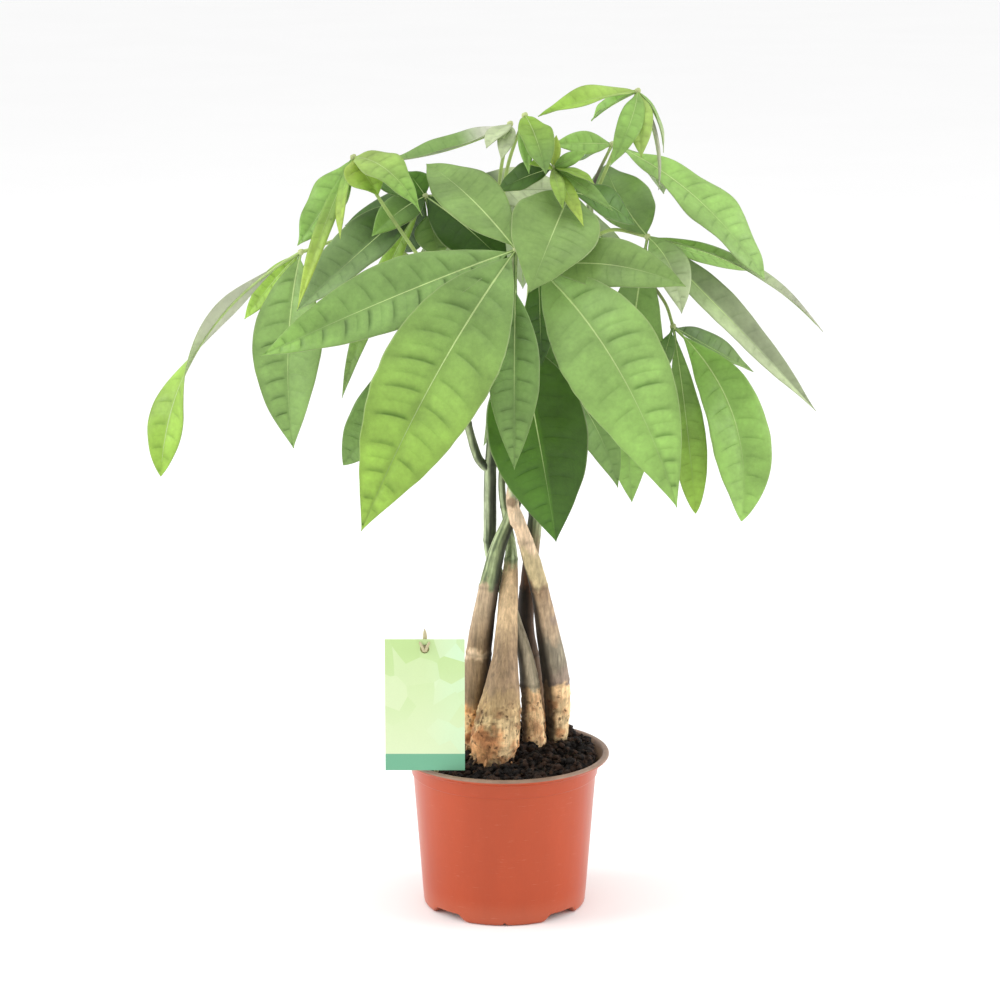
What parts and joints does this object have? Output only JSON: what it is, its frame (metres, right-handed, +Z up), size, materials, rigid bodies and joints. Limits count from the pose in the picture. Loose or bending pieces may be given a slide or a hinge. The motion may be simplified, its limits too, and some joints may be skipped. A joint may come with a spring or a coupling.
{
  "type": "potted money tree",
  "caption": "Potted money tree: swollen trunks that lean together under a spreading crown of long-stalked palmate leaves, in a round nursery pot with a hang tag on a stake.",
  "frame": {"origin": "middle of the pot's flat underside, on the surface it stands on", "axes": "+Z is up along the pot's axis, the hang tag hangs on the -Y side, which faces the viewer, and +X is the viewer's right"},
  "size_m": [0.3754, 0.3129, 0.4708],
  "materials": {
    "pot": "terracotta-coloured moulded plastic with a slight sheen, darker on the rim and inside",
    "soil": "dark crumbly potting mix of peat and bark fibre",
    "bark": "tan bark, corky at the foot and green on the upper shoots",
    "leaf": "satin mid-green leaf with a pale midrib",
    "leaf_young": "satin yellow-green young leaf",
    "label_card": "smooth printed card, pale green with a darker green band",
    "label_stake": "cream plastic"
  },
  "bodies": {
    "root": {"pot": "pot", "trunk_left": "bark", "trunk_front": "bark", "trunk_middle": "bark", "trunk_right": "bark", "trunk_back": "bark", "soil": "soil", "label_card": "label_card", "label_stake": "label_stake", "leaf_front": "leaf", "leaf_front_right": "leaf", "leaf_top_front": "leaf", "leaf_top_young": "leaf_young", "leaf_shaded": "leaf", "leaf_crown_long": "leaf", "leaf_crown_young": "leaf_young", "leaf_crown_right": "leaf_young", "leaf_right_high": "leaf", "leaf_right": "leaf", "leaf_right_low": "leaf", "leaf_left_high": "leaf_young", "leaf_left": "leaf", "leaf_left_far": "leaf", "leaf_left_low": "leaf", "leaf_back": "leaf", "leaf_back_left": "leaf", "leaf_back_right": "leaf", "leaf_back_low": "leaf"}
  },
  "joints": []
}
